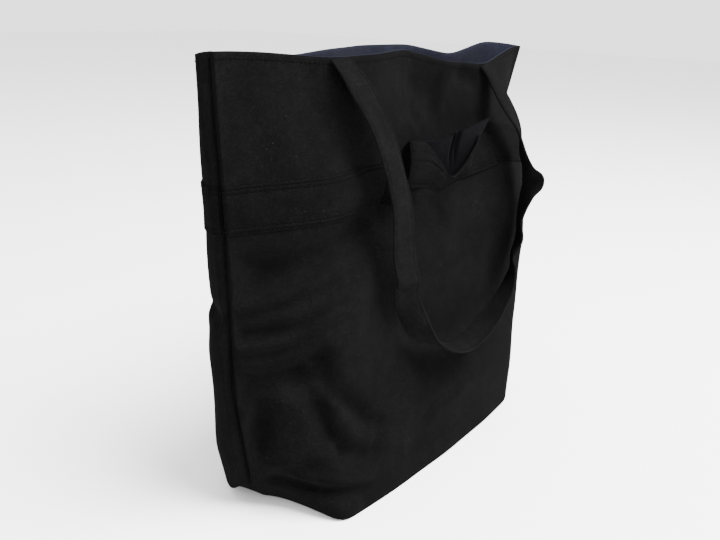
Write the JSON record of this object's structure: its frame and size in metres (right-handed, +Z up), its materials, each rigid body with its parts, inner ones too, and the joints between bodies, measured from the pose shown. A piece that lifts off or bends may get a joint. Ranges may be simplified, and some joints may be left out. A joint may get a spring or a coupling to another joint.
{
  "type": "canvas tote bag",
  "caption": "Large lined canvas tote with a boxed bottom, an overlaid band with a loose trolley sleeve, and hanging shoulder straps that swing up over the open rim.",
  "frame": {"origin": "on the floor under the middle of the bag, at the bottom centre of its box", "axes": "+X along the bag's width, front panel and trolley sleeve facing -Y, +Z up"},
  "size_m": [0.4912, 0.1784, 0.4016],
  "materials": {
    "canvas": "matt black cotton canvas",
    "band": "matt black cotton canvas strip",
    "lining": "dark navy woven nylon lining",
    "webbing": "folded black canvas strap",
    "thread": "black polyester sewing thread"
  },
  "bodies": {
    "bag": {"front_panel": "canvas", "back_panel": "canvas", "trolley_sleeve": "band", "back_band": "band", "front_band_left": "band", "front_band_right": "band", "front_lining": "lining", "back_lining": "lining", "sleeve_facing": "lining", "front_rim_stitching": "thread", "back_rim_stitching": "thread", "front_band_stitching": "thread", "back_band_stitching": "thread", "sleeve_stitching": "thread", "left_side_seam": "thread", "right_side_seam": "thread"},
    "front_handle": {"front_handle": "webbing", "front_handle_stitching": "thread"},
    "back_handle": {"back_handle": "webbing", "back_handle_stitching": "thread"}
  },
  "joints": [
    {"name": "front_handle_swing", "type": "hinge", "parent": "bag", "child": "front_handle", "pos_m": [0, -0.0208, 0.4008], "axis": [-1, 0, 0], "range_deg": [0, 165]},
    {"name": "back_handle_swing", "type": "hinge", "parent": "bag", "child": "back_handle", "pos_m": [0, 0.0208, 0.4008], "axis": [1, 0, 0], "range_deg": [0, 165]}
  ]
}
